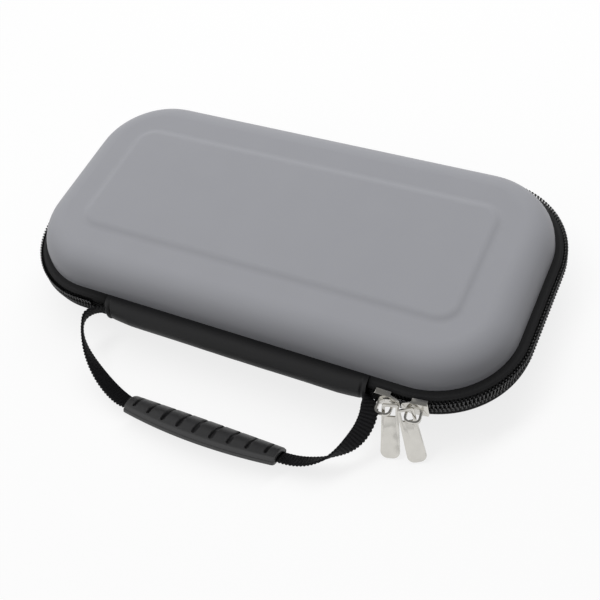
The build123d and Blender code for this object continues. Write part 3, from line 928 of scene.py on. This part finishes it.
# %% Console strap
strap_low, strap_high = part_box("console_strap")
bm = bmesh.new()
bmesh.ops.create_grid(bm, x_segments=34, y_segments=60, size=1.0)
for vert in bm.verts:
    lift = 0.35 * mm * (1 - vert.co.y ** 4) - 0.12 * mm * vert.co.x ** 4
    vert.co = (vert.co.x * strap_high.x, vert.co.y * strap_high.y, strap_low.z + 0.55 * mm + lift)
strap = add_piece("console_strap_elastic", bm, elastic_finish("X"), "base", "console_strap")
thicken(strap, 0.7 * mm, 0.0)
ends = [y * side for y in (strap_high.y - 2 * mm, strap_high.y - 6 * mm) for side in (-1, 1)]
seam_half, strap_top = 15 * mm, strap_low.z + mm
runs = [((-seam_half, y, strap_top), (seam_half, y, strap_top)) for y in ends]
threads = stitch_rows("console_strap_stitches", runs, "base")

# %% [markdown]
# The camera stands where the photo was taken from. Its axes and lens were fitted to edges of known size: the
# rims, the panel and the spine. The image is square, so the sensor's width is the same for both directions.

# %% Camera
camera = as_object("camera", bpy.data.cameras.new("camera"))
camera.data.lens = 58.7226
camera.data.sensor_width = 36
camera.data.clip_start = 0.01
view = Matrix.Translation((0.196699, -0.252802, 0.391161))
view.col[0][:3] = (0.8896, 0.4238, -0.1705)
view.col[1][:3] = (-0.2540, 0.7691, 0.5865)
view.col[2][:3] = (0.3797, -0.4784, 0.7918)
camera.matrix_world = view
bpy.context.scene.camera = camera
print("camera at", tuple(round(x, 3) for x in view.translation))

# %% [markdown]
# The object lies on a white ground. The floor is a plain sheet with a pale finish. To the camera, and in
# reflections, most of it is plain white, and a share of it stays a real surface, so the shadow is kept. To light
# that bounces off it, the floor is dark grey: painted shade on the lower walls of the shells. The world is a plain
# light, a little dimmer on the right. Metal mirrors a studio instead, with a dark ceiling and grey walls, because
# polished nickel in an even white room would look flat. One long soft lamp stands behind the case.

# %% Floor, world and lamp
bm = bmesh.new()
bmesh.ops.create_grid(bm, x_segments=1, y_segments=1, size=3.0)
floor = as_object("floor", as_mesh("floor", bm))


def light_paths(value):
    """Whether a ray comes from the camera, from a reflection or through glass."""
    return [value.node("ShaderNodeLightPath", out=f"Is {kind} Ray") for kind in ("Camera", "Glossy", "Transmission")]


def white_ground():
    """Pale floor: mostly plain white to the camera, and still a surface that takes the shadow. To bounced light it
    is dark grey, as painted shade on the shells.
    """
    material, shader, place = finish("pale_floor", Roughness=0.9, Specular_IOR_Level=0.0)
    direct, glossy, through = light_paths(place)
    seen = direct.maths("MINIMUM", direct + glossy + through, 1.0)
    glow = place.node("ShaderNodeEmission", {}, {"Color": (1, 1, 1, 1), "Strength": 1.0})
    surface = Value(place.tree, shader.outputs[0])
    # To bounced light the floor's colour is dark grey, not white: painted shade on the lower walls of the shells.
    seen.colours((0.16, 0.16, 0.16), (1, 1, 1)).into(shader, "Base Color")
    mixed = place.node("ShaderNodeMixShader", {}, {0: seen * 0.8, 1: surface, 2: glow})
    mixed.into(material.node_tree.nodes["Material Output"], "Surface")
    return material


floor.data.materials.append(white_ground())
world = bpy.data.worlds.new("studio")
bpy.context.scene.world = world
world.use_nodes = True
ground = world.node_tree.nodes["Background"]
toward = Value(world.node_tree).node("ShaderNodeTexCoord", out="Generated")
direct, glossy, through = light_paths(toward)


def rise(value, low, high):
    """A smooth step from 0 to 1 between two values."""
    return value.node("ShaderNodeMapRange", {"interpolation_type": "SMOOTHSTEP"},
                      {"Value": value, "From Min": low, "From Max": high})


dark_ceiling = rise(toward.axis("Z"), 0.45, 0.75) * rise(toward.axis("Y"), -0.35, 0.1)
grey_walls = 1 - rise(toward.axis("Z"), 0.0, 0.45)
plain_light = 0.43
mirrored = 1 - plain_light - dark_ceiling * 0.8 - grey_walls * 0.3
dim_side = rise(toward.axis("X") * 0.9 - toward.axis("Y") * 0.45, 0.1, 0.9) * 0.26
lit = plain_light + (direct + through) * (1 - plain_light) + glossy * mirrored
(lit - dim_side * (1 - direct - glossy - through)).into(ground, "Strength")
ground.inputs["Color"].default_value = (1, 1, 1, 1)


def lamp(name, place, target, turn, wide, deep, watts):
    """A wide soft lamp that looks at a point. It isn't mirrored in metal, which shows the studio instead."""
    light = bpy.data.lights.new(name, "AREA")
    light.shape = "RECTANGLE"
    light.size = wide
    light.size_y = deep
    light.energy = watts
    made = as_object(name, light)
    made.location = place
    aim = (Vector(target) - Vector(place)).to_track_quat("-Z", "Y").to_matrix()
    made.rotation_euler = (aim @ Matrix.Rotation(turn, 3, "Z")).to_euler()
    made.visible_glossy = False


lamp("key", (-0.16, 0.36, 1.1), (0, 0, 0.03), radians(32), 2.0, 0.35, 11.3)
bpy.context.scene.view_settings.view_transform = "Standard"
print("stage ready")
